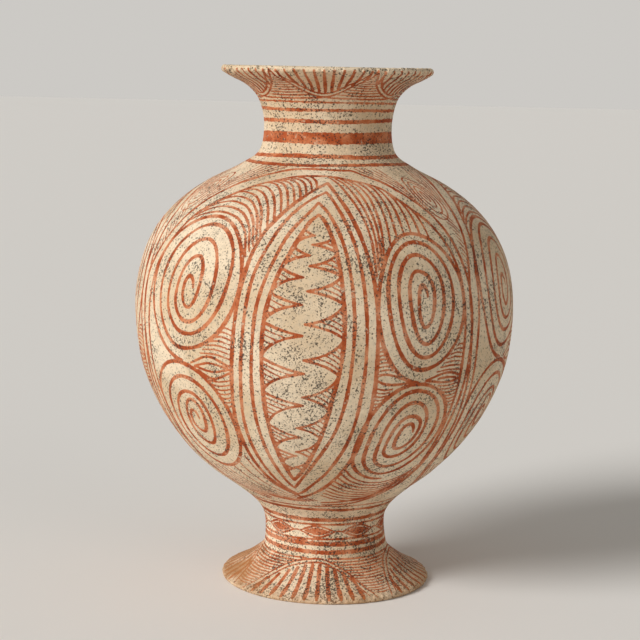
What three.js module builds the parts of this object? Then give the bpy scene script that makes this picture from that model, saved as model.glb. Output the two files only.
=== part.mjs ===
// A hand-built pedestal jar of painted earthenware, in millimetres, +Z up.
// The origin is on the ground, under the middle of the foot.
// The potter builds the jar upwards from rings of clay. Each ring laps the one below it on
// a slanted joint with a thin layer of slip in it. The body starts as a round-bottomed bowl
// that sits in the ring of the pedestal, with a coil of clay pressed into the corner outside.
import * as THREE from "three";

// Diameters of the visible outline
const FOOT_DIAMETER = 156.6;
const STEM_DIAMETER = 90.8;
const BODY_DIAMETER = 280;
const NECK_DIAMETER = 92.8;
const RIM_DIAMETER = 154.6;

// Heights of its stretches, from the ground up. The neck's runs to its narrowest level.
const FOOT_FLARE_HEIGHT = 32;
const STEM_HEIGHT = 16;
const LOWER_BODY_HEIGHT = 155;
const UPPER_BODY_HEIGHT = 117;
const NECK_HEIGHT = 20;
const RIM_FLARE_HEIGHT = 42;

// Slopes of the foot and of the rim at their edges, above the horizontal
const FOOT_SLOPE = THREE.MathUtils.degToRad(32);
const RIM_SLOPE = THREE.MathUtils.degToRad(30);

// Thickness of the clay
const FOOT_WALL = 9;
const STEM_WALL = 8.5;
const BOWL_FLOOR_WALL = 9;
const BODY_WALL = 7;
const NECK_WALL = 6.5;
const RIM_WALL = 5;

// Rounding of the foot's outer edge
const FOOT_EDGE_ROUND = 2;

// Joints between the rings: how far each climbs along the wall on its way in, and the layer
// of slip that fills it
const BODY_LAP = 8;
const NECK_LAP = 5;
const LIP_LAP = 3;
const SLIP_LAYER = 0.3;

// Where the joints reach the outside, as shares of the height of the stretch they lie in: the
// foot's flare, the lower body twice, the upper body three times, and the rim's flare twice
const FOOT_JOINT_SHARE = 0.78;
const BOWL_JOINT_SHARE = 0.44;
const BELLY_JOINT_SHARE = 0.84;
const WIDEST_JOINT_SHARE = 0.3;
const SHOULDER_JOINT_SHARE = 0.7;
const NECK_JOINT_SHARE = 0.99;
const FLARE_JOINT_SHARE = 0.143;
const LIP_JOINT_SHARE = 0.762;

// The bowl's round bottom leaves the outline at one share of the lower body's height, and the
// luting coil fills the corner under it, between two others
const BOWL_BOTTOM_SHARE = 0.22;
const COIL_BASE_SHARE = 0.045;
const COIL_TOP_SHARE = 0.135;

// Fineness of the solids: steps round the jar and round an edge, and steps along a wall
const TURN_STEPS = 48;
const ROUND_STEPS = 6;
const BODY_STEP = 12;
const NECK_STEP = 6;

// Fired clay under a pale slip, with the orange of the paint mixed in
const CREAM_SLIP = 0xd9c3a1;
const BUFF_SLIP = 0xcfae86;
const WORN_SLIP = 0xc0936a;
const BARE_CLAY = 0xa8734d;
const CLAY_ROUGHNESS = 0.85;

// Radii and heights worked out from the sizes above
const FOOT_RADIUS = FOOT_DIAMETER / 2;
const STEM_RADIUS = STEM_DIAMETER / 2;
const BODY_RADIUS = BODY_DIAMETER / 2;
const NECK_RADIUS = NECK_DIAMETER / 2;
const RIM_RADIUS = RIM_DIAMETER / 2;
const LIP_ROUND = RIM_WALL / 2;
const STEM_TOP = FOOT_FLARE_HEIGHT + STEM_HEIGHT;
const WIDEST_HEIGHT = STEM_TOP + LOWER_BODY_HEIGHT;
const NECK_BASE = WIDEST_HEIGHT + UPPER_BODY_HEIGHT;
const NECK_WAIST = NECK_BASE + NECK_HEIGHT;
const JAR_HEIGHT = NECK_WAIST + RIM_FLARE_HEIGHT;

// Heights that the shares of the stretches give
const { lerp } = THREE.MathUtils;
const FOOT_JOINT_HEIGHT = FOOT_FLARE_HEIGHT * FOOT_JOINT_SHARE;
const COIL_BASE_HEIGHT = lerp(STEM_TOP, WIDEST_HEIGHT, COIL_BASE_SHARE);
const COIL_TOP_HEIGHT = lerp(STEM_TOP, WIDEST_HEIGHT, COIL_TOP_SHARE);
const BOWL_BOTTOM_HEIGHT = lerp(STEM_TOP, WIDEST_HEIGHT, BOWL_BOTTOM_SHARE);
const BOWL_JOINT_HEIGHT = lerp(STEM_TOP, WIDEST_HEIGHT, BOWL_JOINT_SHARE);
const BELLY_JOINT_HEIGHT = lerp(STEM_TOP, WIDEST_HEIGHT, BELLY_JOINT_SHARE);
const WIDEST_JOINT_HEIGHT = lerp(WIDEST_HEIGHT, NECK_BASE, WIDEST_JOINT_SHARE);
const SHOULDER_JOINT_HEIGHT = lerp(WIDEST_HEIGHT, NECK_BASE, SHOULDER_JOINT_SHARE);
const NECK_JOINT_HEIGHT = lerp(WIDEST_HEIGHT, NECK_BASE, NECK_JOINT_SHARE);
const FLARE_JOINT_HEIGHT = lerp(NECK_WAIST, JAR_HEIGHT, FLARE_JOINT_SHARE);
const LIP_JOINT_HEIGHT = lerp(NECK_WAIST, JAR_HEIGHT, LIP_JOINT_SHARE);

// Stations of the outline between the named sizes, each as its share of the stretch's
// height and its share of the way from the stretch's narrow radius to its wide one
const FOOT_FLARE_SHARES = [
  [0.25, 0.7],
  [0.5, 0.33],
  [0.76, 0.052],
];
const LOWER_BODY_SHARES = [
  [0.05, 0.034],
  [0.1, 0.103],
  [0.17, 0.24],
  [0.26, 0.432],
  [0.39, 0.639],
  [0.56, 0.823],
  [0.76, 0.951],
];
const UPPER_BODY_SHARES = [
  [0.22, 0.979],
  [0.407, 0.91],
  [0.56, 0.8],
  [0.695, 0.642],
  [0.814, 0.43],
  [0.915, 0.183],
  [1, 0.038],
];
const RIM_FLARE_SHARES = [
  [0.414, 0.117],
  [0.571, 0.256],
  [0.702, 0.466],
  [0.798, 0.731],
];

// Thickness of the wall at heights along the outline
const WALL_STATIONS = [
  [0, FOOT_WALL],
  [FOOT_FLARE_HEIGHT, STEM_WALL],
  [STEM_TOP, STEM_WALL],
  [BOWL_JOINT_HEIGHT, BODY_WALL],
  [WIDEST_JOINT_HEIGHT, BODY_WALL],
  [NECK_BASE, NECK_WALL],
  [JAR_HEIGHT, RIM_WALL],
];

const RIGHT_ANGLE = Math.PI / 2;
const MOST_HALVINGS = 40;

// Points of a section are written as x for the radius and y for the height.
function point(radius, height) {
  return new THREE.Vector2(radius, height);
}

function arcPoint(centre, round, angle) {
  return point(centre.x + round * Math.cos(angle), centre.y + round * Math.sin(angle));
}

function arcPoints(centre, round, startAngle, endAngle, steps) {
  const points = [];
  for (let step = 0; step <= steps; step++) {
    const angle = lerp(startAngle, endAngle, step / steps);
    points.push(arcPoint(centre, round, angle));
  }
  return points;
}

function stations(shares, base, top, narrow, wide) {
  return shares.map(([heightShare, radiusShare]) => {
    const radius = lerp(narrow, wide, radiusShare);
    return point(radius, lerp(base, top, heightShare));
  });
}

// The rounded edges of the foot and of the lip
const footEdgeCentre = point(FOOT_RADIUS - FOOT_EDGE_ROUND, FOOT_EDGE_ROUND);
const footEdgeTopAngle = RIGHT_ANGLE - FOOT_SLOPE;
const lipCentre = point(RIM_RADIUS - LIP_ROUND, JAR_HEIGHT - LIP_ROUND);
const lipUnderAngle = RIM_SLOPE - RIGHT_ANGLE;
const lipInnerAngle = RIM_SLOPE + RIGHT_ANGLE;

// One smooth outline, from the top of the foot's edge to the underside of the lip
function makeOutline() {
  const points = [
    arcPoint(footEdgeCentre, FOOT_EDGE_ROUND, footEdgeTopAngle),
    ...stations(FOOT_FLARE_SHARES, 0, FOOT_FLARE_HEIGHT, STEM_RADIUS, FOOT_RADIUS),
    point(STEM_RADIUS, FOOT_FLARE_HEIGHT),
    point(STEM_RADIUS, STEM_TOP),
    ...stations(LOWER_BODY_SHARES, STEM_TOP, WIDEST_HEIGHT, STEM_RADIUS, BODY_RADIUS),
    point(BODY_RADIUS, WIDEST_HEIGHT),
    ...stations(UPPER_BODY_SHARES, WIDEST_HEIGHT, NECK_BASE, NECK_RADIUS, BODY_RADIUS),
    point(NECK_RADIUS, NECK_WAIST),
    ...stations(RIM_FLARE_SHARES, NECK_WAIST, JAR_HEIGHT, NECK_RADIUS, RIM_RADIUS),
    arcPoint(lipCentre, LIP_ROUND, lipUnderAngle),
  ];
  const inSpace = points.map((p) => new THREE.Vector3(p.x, p.y, 0));
  return new THREE.CatmullRomCurve3(inSpace, false, "centripetal");
}

const outline = makeOutline();
const outlineLength = outline.getLength();

// Places along the outline are shares of its length, from 0 at the foot to 1 at the lip.
function outerPoint(place) {
  const p = outline.getPointAt(place);
  return point(p.x, p.y);
}

function outwardNormal(place) {
  const tangent = outline.getTangentAt(place);
  return point(tangent.y, -tangent.x);
}

function wallAt(height) {
  const last = WALL_STATIONS.length - 1;
  const found = WALL_STATIONS.findIndex(([level]) => level > height);
  const above = found < 1 ? last : found;
  const [lowHeight, lowWall] = WALL_STATIONS[above - 1];
  const [highHeight, highWall] = WALL_STATIONS[above];
  const share = THREE.MathUtils.clamp((height - lowHeight) / (highHeight - lowHeight), 0, 1);
  return lerp(lowWall, highWall, share);
}

function innerPoint(place) {
  const outer = outerPoint(place);
  return outer.addScaledVector(outwardNormal(place), -wallAt(outer.y));
}

// The place where a wall face, which climbs steadily, reaches a height
function placeAtHeight(face, height) {
  let low = 0;
  let high = 1;
  for (let halving = 0; halving < MOST_HALVINGS; halving++) {
    const middle = (low + high) / 2;
    if (face(middle).y < height) low = middle;
    else high = middle;
  }
  return (low + high) / 2;
}

function wallPoints(face, from, to, step) {
  const count = Math.max(1, Math.round((Math.abs(to - from) * outlineLength) / step));
  const points = [];
  for (let index = 0; index <= count; index++) {
    points.push(face(lerp(from, to, index / count)));
  }
  return points;
}

// A lapped joint, as the places where the ring below ends and the ring above begins.
// The slip layer keeps its thickness across the slant.
function lapJoint(height, lap) {
  const middle = placeAtHeight(outerPoint, height);
  const wall = wallAt(height);
  const halfSlip = (SLIP_LAYER / 2) * (Math.hypot(lap, wall) / wall);
  const halfShare = halfSlip / outlineLength;
  const climb = lap / outlineLength;
  return {
    below: { outer: middle - halfShare, inner: middle - halfShare + climb },
    above: { outer: middle + halfShare, inner: middle + halfShare + climb },
  };
}

// The section of a ring between two joints runs up its outside and down its inside.
function ringSection(lowerJoint, upperJoint, step) {
  const start = lowerJoint.above;
  const end = upperJoint.below;
  return [
    ...wallPoints(outerPoint, start.outer, end.outer, step),
    ...wallPoints(innerPoint, end.inner, start.inner, step),
  ];
}

function turnedMesh(name, section, colour) {
  const geometry = new THREE.LatheGeometry(section, TURN_STEPS);
  geometry.rotateX(RIGHT_ANGLE);
  const material = new THREE.MeshStandardMaterial({
    color: colour,
    roughness: CLAY_ROUGHNESS,
    metalness: 0,
  });
  const mesh = new THREE.Mesh(geometry, material);
  mesh.name = name;
  return mesh;
}

// A ring's section closes on itself.
function ringMesh(name, section, colour) {
  return turnedMesh(name, [...section, section[0]], colour);
}

const footJoint = lapJoint(FOOT_JOINT_HEIGHT, NECK_LAP);
const bowlJoint = lapJoint(BOWL_JOINT_HEIGHT, BODY_LAP);
const bellyJoint = lapJoint(BELLY_JOINT_HEIGHT, BODY_LAP);
const widestJoint = lapJoint(WIDEST_JOINT_HEIGHT, BODY_LAP);
const shoulderJoint = lapJoint(SHOULDER_JOINT_HEIGHT, BODY_LAP);
const neckJoint = lapJoint(NECK_JOINT_HEIGHT, NECK_LAP);
const flareJoint = lapJoint(FLARE_JOINT_HEIGHT, NECK_LAP);
const lipJoint = lapJoint(LIP_JOINT_HEIGHT, LIP_LAP);

// The flared foot rests on a flat ring, between its rounded edge and its hollow.
function makeFootFlare() {
  const edge = arcPoints(
    footEdgeCentre,
    FOOT_EDGE_ROUND,
    -RIGHT_ANGLE,
    footEdgeTopAngle,
    ROUND_STEPS,
  );
  const end = footJoint.below;
  const hollowStart = placeAtHeight(innerPoint, 0);
  const section = [
    ...edge,
    ...wallPoints(outerPoint, 0, end.outer, NECK_STEP).slice(1),
    ...wallPoints(innerPoint, end.inner, hollowStart, NECK_STEP),
  ];
  return ringMesh("foot_flare", section, WORN_SLIP);
}

// The bowl's round bottom is part of a ball, which meets the outline without a corner.
const bowlEdgePlace = placeAtHeight(outerPoint, BOWL_BOTTOM_HEIGHT);
const bowlEdge = outerPoint(bowlEdgePlace);
const bowlEdgeNormal = outwardNormal(bowlEdgePlace);
const bowlRound = bowlEdge.x / bowlEdgeNormal.x;
const bowlCentre = point(0, bowlEdge.y - bowlRound * bowlEdgeNormal.y);

// What sits against the bowl from below keeps a slip layer away from the ball.
function heightUnderBowl(radius) {
  return bowlCentre.y - Math.sqrt((bowlRound + SLIP_LAYER) ** 2 - radius ** 2);
}

function pointUnderBowl(radius) {
  return point(radius, heightUnderBowl(radius));
}

// Inside the coil the ring of the pedestal goes straight up to the bowl, and its top is cut
// to the bowl's roundness.
const seatPlace = placeAtHeight(outerPoint, (STEM_TOP + COIL_BASE_HEIGHT) / 2);
const seatOuterRadius = outerPoint(seatPlace).x;
const seatInnerRadius = STEM_RADIUS - STEM_WALL;

function makeFootStem() {
  const start = footJoint.above;
  const innerEnd = placeAtHeight(outerPoint, STEM_TOP);
  const seatMiddle = (seatOuterRadius + seatInnerRadius) / 2;
  const section = [
    ...wallPoints(outerPoint, start.outer, seatPlace, NECK_STEP),
    pointUnderBowl(seatOuterRadius),
    pointUnderBowl(seatMiddle),
    pointUnderBowl(seatInnerRadius),
    ...wallPoints(innerPoint, innerEnd, start.inner, NECK_STEP),
  ];
  return ringMesh("foot_stem", section, BUFF_SLIP);
}

// The luting coil fills the corner between the pedestal and the bowl.
function makeFootLutingCoil() {
  const start = placeAtHeight(outerPoint, COIL_BASE_HEIGHT);
  const end = placeAtHeight(outerPoint, COIL_TOP_HEIGHT);
  const innerRadius = seatOuterRadius + SLIP_LAYER;
  const outerRadius = outerPoint(end).x;
  const section = [
    point(innerRadius, COIL_BASE_HEIGHT),
    ...wallPoints(outerPoint, start, end, NECK_STEP),
    pointUnderBowl(outerRadius),
    pointUnderBowl((innerRadius + outerRadius) / 2),
    pointUnderBowl(innerRadius),
  ];
  return ringMesh("foot_luting_coil", section, BARE_CLAY);
}

// The bowl's wall thins from its floor to its joint, so that the next ring meets it evenly.
function makeBaseBowl() {
  const end = bowlJoint.below;
  const edgeAngle = Math.atan2(bowlEdgeNormal.y, bowlEdgeNormal.x);
  const ballSteps = Math.round((bowlRound * (RIGHT_ANGLE + edgeAngle)) / BODY_STEP);
  const ball = arcPoints(bowlCentre, bowlRound, -RIGHT_ANGLE, edgeAngle, ballSteps);
  const ballBottom = bowlCentre.y - bowlRound;
  const jointWall = wallAt(BOWL_JOINT_HEIGHT);
  const floorPoint = (outer, normal) => {
    const share = (outer.y - ballBottom) / (BOWL_JOINT_HEIGHT - ballBottom);
    const climbed = THREE.MathUtils.clamp(share, 0, 1);
    const wall = lerp(BOWL_FLOOR_WALL, jointWall, climbed);
    return outer.clone().addScaledVector(normal, -wall);
  };
  const wallFace = (place) => floorPoint(outerPoint(place), outwardNormal(place));
  const ballNormal = (p) => p.clone().sub(bowlCentre).divideScalar(bowlRound);
  const floor = ball.map((p) => floorPoint(p, ballNormal(p)));
  floor[0].x = 0;
  ball[0].x = 0;
  const section = [
    ...ball,
    ...wallPoints(outerPoint, bowlEdgePlace, end.outer, BODY_STEP).slice(1),
    ...wallPoints(wallFace, end.inner, bowlEdgePlace, BODY_STEP),
    ...floor.reverse().slice(1),
  ];
  return turnedMesh("base_bowl", section, BUFF_SLIP);
}

function makeWallRing(name, lowerJoint, upperJoint, step, colour) {
  return ringMesh(name, ringSection(lowerJoint, upperJoint, step), colour);
}

// The lip coil is rounded over the edge of the rim.
function makeRimLip() {
  const start = lipJoint.above;
  const edge = arcPoints(lipCentre, LIP_ROUND, lipUnderAngle, lipInnerAngle, ROUND_STEPS);
  const section = [
    ...wallPoints(outerPoint, start.outer, 1, NECK_STEP),
    ...edge.slice(1),
    ...wallPoints(innerPoint, 1, start.inner, NECK_STEP).slice(1),
  ];
  return ringMesh("rim_lip", section, CREAM_SLIP);
}

const jar = new THREE.Group();
jar.name = "pedestal_jar";
jar.add(
  makeFootFlare(),
  makeFootStem(),
  makeFootLutingCoil(),
  makeBaseBowl(),
  makeWallRing("lower_belly_wall", bowlJoint, bellyJoint, BODY_STEP, BUFF_SLIP),
  makeWallRing("upper_belly_wall", bellyJoint, widestJoint, BODY_STEP, BUFF_SLIP),
  makeWallRing("lower_shoulder_wall", widestJoint, shoulderJoint, BODY_STEP, CREAM_SLIP),
  makeWallRing("upper_shoulder_wall", shoulderJoint, neckJoint, BODY_STEP, CREAM_SLIP),
  makeWallRing("neck_collar", neckJoint, flareJoint, NECK_STEP, CREAM_SLIP),
  makeWallRing("rim_flare", flareJoint, lipJoint, NECK_STEP, CREAM_SLIP),
  makeRimLip(),
);

export default jar;
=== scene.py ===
"""A painted earthenware pedestal jar, dressed over its packed rings of clay.

Sizes and drawing places are in millimetres and degrees until a mesh is made, in metres.
A place on the jar's skin is a turn, in degrees from the front (-Y) towards the right (+X),
and a climb, in millimetres along the outline from the bottom of the foot to the top of the lip.
"""

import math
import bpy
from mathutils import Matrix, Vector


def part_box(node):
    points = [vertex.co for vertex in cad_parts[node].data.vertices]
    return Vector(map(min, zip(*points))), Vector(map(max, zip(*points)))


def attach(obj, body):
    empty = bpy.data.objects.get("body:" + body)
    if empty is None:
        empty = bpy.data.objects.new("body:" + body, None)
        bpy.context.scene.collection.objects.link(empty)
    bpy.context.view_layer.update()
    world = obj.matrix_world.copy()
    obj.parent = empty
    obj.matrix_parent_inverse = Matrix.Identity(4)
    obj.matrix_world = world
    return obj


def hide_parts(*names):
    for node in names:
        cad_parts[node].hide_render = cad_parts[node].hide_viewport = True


bl_info = {
    "name": "Painted Pedestal Jar",
    "version": (1, 0, 0),
    "blender": (4, 5, 0),
    "location": "View3D > Sidebar > Pedestal Jar",
    "description": "Builds a hand-built, painted earthenware jar ring by ring",
    "category": "Add Mesh",
}

import bpy
import numpy as np
from bpy.props import FloatProperty, FloatVectorProperty, IntProperty, PointerProperty
from bpy.types import Operator, Panel, PropertyGroup
from mathutils import Matrix, Vector

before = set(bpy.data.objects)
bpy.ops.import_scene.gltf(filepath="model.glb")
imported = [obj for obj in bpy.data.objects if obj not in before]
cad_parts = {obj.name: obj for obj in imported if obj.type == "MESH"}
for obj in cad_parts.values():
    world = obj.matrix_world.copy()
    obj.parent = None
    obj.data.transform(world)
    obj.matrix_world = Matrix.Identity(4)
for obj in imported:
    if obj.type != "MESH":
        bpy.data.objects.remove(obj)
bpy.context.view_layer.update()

MM = 0.001
TINY = 1e-9
BODY = "root"


def across(node):
    """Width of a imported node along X, in metres."""
    low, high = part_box(node)
    return high.x - low.x


def base_height(node):
    """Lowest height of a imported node, in millimetres."""
    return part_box(node)[0].z / MM


def top_height(node):
    """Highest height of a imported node, in millimetres."""
    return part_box(node)[1].z / MM


# Heights of the outline's stretches, from the ground up
FOOT_FLARE_HEIGHT = 32.0
STEM_TOP = 48.0
WIDEST_HEIGHT = 203.0
NECK_BASE = 320.0
NECK_WAIST = 340.0
JAR_HEIGHT = top_height("rim_lip")

# Roundings and slopes of the two edges
FOOT_EDGE_ROUND = 2.0
LIP_ROUND = 2.5
FOOT_SLOPE = math.radians(32)
RIM_SLOPE = math.radians(30)

# Thickness of the wall at heights along the outline
WALL_HEIGHTS = (0, FOOT_FLARE_HEIGHT, 116, 238, NECK_BASE, JAR_HEIGHT)
WALLS = (9.0, 8.5, 7.0, 7.0, 6.5, 5.0)
BODY_LAP = 8.0
NECK_LAP = 5.0
LIP_LAP = 3.0
BOWL_FLOOR_WALL = 9.0
BOWL_BOTTOM_HEIGHT = 82.1

# Stations of the outline, as shares of a stretch's height and of its way from narrow to wide
FOOT_FLARE_SHARES = ((0.25, 0.7), (0.5, 0.33), (0.76, 0.052))
LOWER_BODY_SHARES = (
    (0.05, 0.034),
    (0.1, 0.103),
    (0.17, 0.24),
    (0.26, 0.432),
    (0.39, 0.639),
    (0.56, 0.823),
    (0.76, 0.951),
)
UPPER_BODY_SHARES = (
    (0.22, 0.979),
    (0.407, 0.91),
    (0.56, 0.8),
    (0.695, 0.642),
    (0.814, 0.43),
    (0.915, 0.183),
    (1, 0.038),
)
RIM_FLARE_SHARES = ((0.414, 0.117), (0.571, 0.256), (0.702, 0.466), (0.798, 0.731))

# Steps of the two rounded edges and of each span between two stations
FOOT_EDGE_STEPS = 12
LIP_STEPS = 14
SPAN_STEPS = 40
# How far below and above a place its slope is read
SLOPE_REACH = 0.6

# The narrow places, in metres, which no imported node's box gives
STEM_DIAMETER = 0.0908
NECK_DIAMETER = 0.0928

# The hand-built jar leans a little: how far its axis stands to the right at each height
LEAN_HEIGHTS = (0, 25, 60, 95, 345, 380)
LEANS = (2.5, 2.5, 0.0, -2.5, -2.5, -3.9)


# The outline

def blend(low, high, share):
    return low + (high - low) * share


def smooth_curve(points, steps):
    """A centripetal curve through points, with each span cut into steps."""
    points = np.asarray(points, float)
    before = 2 * points[:1] - points[1:2]
    after = 2 * points[-1:] - points[-2:-1]
    padded = np.vstack([before, points, after])
    share = np.linspace(0, 1, steps, endpoint=False)[:, None]
    spans = []
    for index in range(1, len(padded) - 2):
        p0, p1, p2, p3 = padded[index - 1 : index + 3]
        d0 = max(math.dist(p0, p1), TINY) ** 0.5
        d1 = max(math.dist(p1, p2), TINY) ** 0.5
        d2 = max(math.dist(p2, p3), TINY) ** 0.5
        t1 = ((p1 - p0) / d0 - (p2 - p0) / (d0 + d1) + (p2 - p1) / d1) * d1
        t2 = ((p2 - p1) / d1 - (p3 - p1) / (d1 + d2) + (p3 - p2) / d2) * d1
        square = 3 * (p2 - p1) - 2 * t1 - t2
        cube = 2 * (p1 - p2) + t1 + t2
        spans.append(p1 + t1 * share + square * share**2 + cube * share**3)
    spans.append(points[-1:])
    return np.vstack(spans)


def arc_points(centre, radius, start, end, steps):
    angles = np.linspace(start, end, steps)
    return np.c_[centre[0] + radius * np.cos(angles), centre[1] + radius * np.sin(angles)]


def stations(shares, base, top, narrow, wide):
    return [(blend(narrow, wide, across_), blend(base, top, up)) for up, across_ in shares]


class Outline:
    """The jar's outer section, as radius and height for each climb."""

    def __init__(self, shape):
        foot = shape.foot_diameter / 2 / MM
        stem = shape.stem_diameter / 2 / MM
        body = shape.body_diameter / 2 / MM
        neck = shape.neck_diameter / 2 / MM
        rim = shape.rim_diameter / 2 / MM
        right_angle = math.pi / 2
        foot_centre = (foot - FOOT_EDGE_ROUND, FOOT_EDGE_ROUND)
        lip_centre = (rim - LIP_ROUND, JAR_HEIGHT - LIP_ROUND)
        foot_angle = right_angle - FOOT_SLOPE
        lip_angle = RIM_SLOPE - right_angle
        foot_arc = arc_points(foot_centre, FOOT_EDGE_ROUND, -right_angle, foot_angle, FOOT_EDGE_STEPS)
        lip_arc = arc_points(lip_centre, LIP_ROUND, lip_angle, right_angle, LIP_STEPS)
        points = [
            tuple(foot_arc[-1]),
            *stations(FOOT_FLARE_SHARES, 0, FOOT_FLARE_HEIGHT, stem, foot),
            (stem, FOOT_FLARE_HEIGHT),
            (stem, STEM_TOP),
            *stations(LOWER_BODY_SHARES, STEM_TOP, WIDEST_HEIGHT, stem, body),
            (body, WIDEST_HEIGHT),
            *stations(UPPER_BODY_SHARES, WIDEST_HEIGHT, NECK_BASE, neck, body),
            (neck, NECK_WAIST),
            *stations(RIM_FLARE_SHARES, NECK_WAIST, JAR_HEIGHT, neck, rim),
            tuple(lip_arc[0]),
        ]
        curve = smooth_curve(points, SPAN_STEPS)
        section = np.vstack([foot_arc[:-1], curve, lip_arc[1:]])
        steps = np.hypot(*np.diff(section, axis=0).T)
        self.climbs = np.concatenate([[0], np.cumsum(steps)])
        self.section = section
        self.length = self.climbs[-1]

    def at(self, climb):
        """Radius and height at each climb."""
        radius = np.interp(climb, self.climbs, self.section[:, 0])
        height = np.interp(climb, self.climbs, self.section[:, 1])
        return radius, height

    def normal(self, climb):
        """The outward direction at each climb, as its radius and height parts."""
        r0, z0 = self.at(climb - SLOPE_REACH)
        r1, z1 = self.at(climb + SLOPE_REACH)
        length = np.maximum(np.hypot(r1 - r0, z1 - z0), TINY)
        return (z1 - z0) / length, -(r1 - r0) / length

    def climb_at(self, height):
        """The climb where the outline reaches a height."""
        return float(np.interp(height, self.section[:, 1], self.climbs))

    def inner(self, climb):
        """Radius and height of the inner face at each climb."""
        radius, height = self.at(climb)
        out, up = self.normal(climb)
        wall = np.interp(height, WALL_HEIGHTS, WALLS)
        return radius - wall * out, height - wall * up


# Unevenness of the hand-built, weathered skin

# A usual radius and the highest climb, for which the lattice of the noise is laid out
NOISE_RADIUS = 100
NOISE_CLIMB = 520
# Depth of the wobble with two and with three bulges, and the climbs over which each turns
TWO_BULGES = 0.3
TWO_BULGES_CLIMB = 90
THREE_BULGES = 0.2
THREE_BULGES_CLIMB = 60
# Depth and width of scraping marks, grain and pits, and the noise above which a pit starts
SCRAPING = 0.3
SCRAPING_PITCH = 24
GRAIN = 0.12
GRAIN_PITCH = 2.6
PIT = 0.35
PIT_PITCH = 3.4
PIT_LEVEL = 0.86
# Chips: how far the worn edge's middle lies from the end of the outline, its reach, its depth
LIP_WEAR = (5, 7, 3.0)
FOOT_WEAR = (4, 6, 1.6)
CHIP_PITCH = 9
CHIP_COARSE = 0.7
CHIP_FINE = 0.6
CHIP_LEVEL = 0.6
EDGE_GRIT = 0.5


def lattice_noise(turns, climbs, pitch, seed):
    """Smooth noise from 0 to 1 over the skin, with features about one pitch (mm) wide."""
    round_cells = max(3, int(2 * math.pi * NOISE_RADIUS / pitch))
    climb_cells = int(NOISE_CLIMB / pitch) + 3
    lattice = np.random.default_rng(seed).random((climb_cells, round_cells))
    across_cells = (turns % 360) / 360 * round_cells
    up_cells = climbs / pitch
    column = np.floor(across_cells).astype(int)
    row = np.floor(up_cells).astype(int)
    share_x = across_cells - column
    share_y = up_cells - row
    share_x = share_x * share_x * (3 - 2 * share_x)
    share_y = (share_y * share_y * (3 - 2 * share_y))[:, None]
    left = column % round_cells
    right = (column + 1) % round_cells
    low = blend(lattice[row][:, left], lattice[row][:, right], share_x)
    high = blend(lattice[row + 1][:, left], lattice[row + 1][:, right], share_x)
    return blend(low, high, share_y)


def unevenness(turns, climbs):
    """How far the skin stands in or out, in millimetres: hand wobble, scraping and pits."""
    around = np.radians(turns)
    up = climbs[:, None]
    wobble = TWO_BULGES * np.sin(2 * around + up / TWO_BULGES_CLIMB)
    wobble += THREE_BULGES * np.sin(3 * around - up / THREE_BULGES_CLIMB)
    scraping = SCRAPING * (lattice_noise(turns, climbs, SCRAPING_PITCH, seed=3) - 0.5)
    grain = GRAIN * (lattice_noise(turns, climbs, GRAIN_PITCH, seed=5) - 0.5)
    holes = np.clip(lattice_noise(turns, climbs, PIT_PITCH, seed=8) - PIT_LEVEL, 0, 1)
    pits = PIT * holes / (1 - PIT_LEVEL)
    return wobble + scraping + grain - pits


def edge_wear(turns, climbs, length):
    """Chips along the lip and the edge of the foot, as a depth in millimetres."""
    lip_middle, lip_reach, lip_depth = LIP_WEAR
    foot_middle, foot_reach, foot_depth = FOOT_WEAR
    lip = np.clip(1 - np.abs(climbs - (length - lip_middle)) / lip_reach, 0, 1)[:, None]
    foot = np.clip(1 - np.abs(climbs - foot_middle) / foot_reach, 0, 1)[:, None]
    coarse = lattice_noise(turns, climbs, CHIP_PITCH, seed=21)
    fine = lattice_noise(turns, climbs, GRAIN_PITCH, seed=22)
    chips = np.clip(coarse * CHIP_COARSE + fine * CHIP_FINE - CHIP_LEVEL, 0, 1)
    return lip_depth * lip * chips + foot_depth * foot * chips + EDGE_GRIT * (lip + foot) * fine


# Meshes

SHARP_EDGE = math.radians(50)
# Below this height the skin is pushed up or down less and less, so that the foot stands flat
LEVEL_HEIGHT = 3
# What the paint layer says on faces that the rings hide
HIDDEN = -4.0


def add_object(name, points, faces_quads, faces_tris, paint):
    """A mesh object from points in millimetres, with the paint as a number on each point."""
    mesh = bpy.data.meshes.new(name)
    quads = np.asarray(faces_quads, np.int32).reshape(-1, 4)
    tris = np.asarray(faces_tris, np.int32).reshape(-1, 3)
    loops = np.concatenate([quads.ravel(), tris.ravel()])
    sizes = np.concatenate([np.full(len(quads), 4), np.full(len(tris), 3)])
    starts = np.concatenate([[0], np.cumsum(sizes)[:-1]]).astype(np.int32)
    mesh.vertices.add(len(points))
    mesh.vertices.foreach_set("co", (np.asarray(points) * MM).astype(np.float32).ravel())
    mesh.loops.add(len(loops))
    mesh.loops.foreach_set("vertex_index", loops.astype(np.int32))
    mesh.polygons.add(len(sizes))
    mesh.polygons.foreach_set("loop_start", starts)
    mesh.update(calc_edges=True)
    mesh.validate()
    mesh.polygons.foreach_set("use_smooth", np.ones(len(mesh.polygons), bool))
    mesh.set_sharp_from_angle(angle=SHARP_EDGE)
    layer = mesh.attributes.new("paint", "FLOAT", "POINT")
    layer.data.foreach_set("value", np.asarray(paint, np.float32))
    piece = bpy.data.objects.new(name, mesh)
    bpy.context.scene.collection.objects.link(piece)
    return piece


def ring_quads(rows, columns, closed):
    """Quads between neighbouring rows of a turned section."""
    row = np.arange(rows if closed else rows - 1)[:, None]
    column = np.arange(columns)[None, :]
    next_row = (row + 1) % rows
    next_column = (column + 1) % columns
    corners = (
        row * columns + column,
        row * columns + next_column,
        next_row * columns + next_column,
        next_row * columns + column,
    )
    return np.stack([np.broadcast_to(c, (len(row), columns)) for c in corners], -1)


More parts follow.
